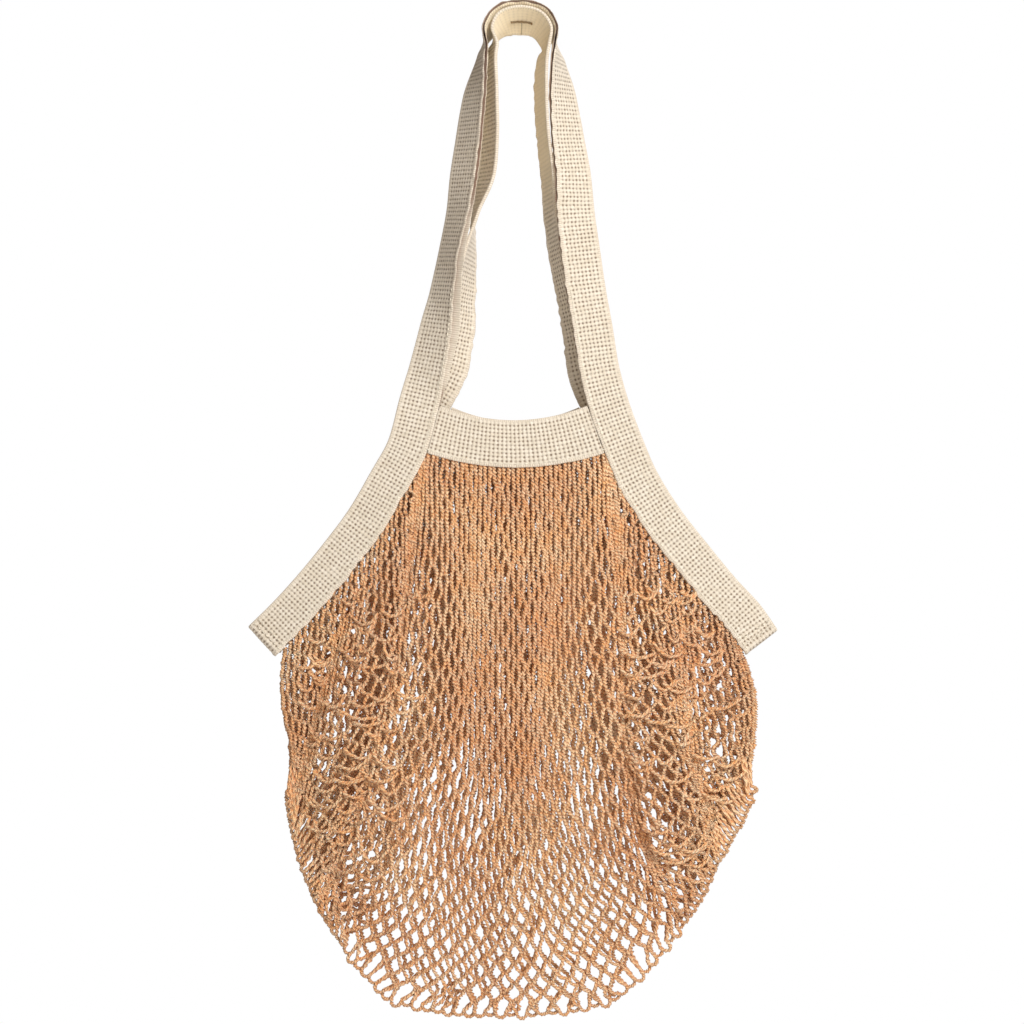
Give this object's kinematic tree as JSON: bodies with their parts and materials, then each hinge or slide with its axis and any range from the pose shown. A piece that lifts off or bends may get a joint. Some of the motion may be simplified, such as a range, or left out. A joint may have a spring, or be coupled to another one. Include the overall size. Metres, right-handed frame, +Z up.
{
  "type": "market bag",
  "caption": "Netted cotton market bag with long webbing handles that bind the mouth, hanging empty.",
  "frame": {"origin": "where a peg or hook carries both handles, at the underside of the inner handle's arch", "axes": "+Z up from the bottom of the net to the peg, +X across the bag, -Y towards the viewer"},
  "size_m": [0.3697, 0.0487, 0.7115],
  "materials": {
    "cotton_webbing": "matte open-weave cotton canvas webbing, undyed",
    "cotton_net": "matte twisted cotton cord, knitted into an open net and dyed pale terracotta"
  },
  "bodies": {
    "root": {"handle_front": "cotton_webbing", "handle_back": "cotton_webbing", "top_band_front": "cotton_webbing", "top_band_back": "cotton_webbing", "net_front": "cotton_net", "net_back": "cotton_net"}
  },
  "joints": []
}
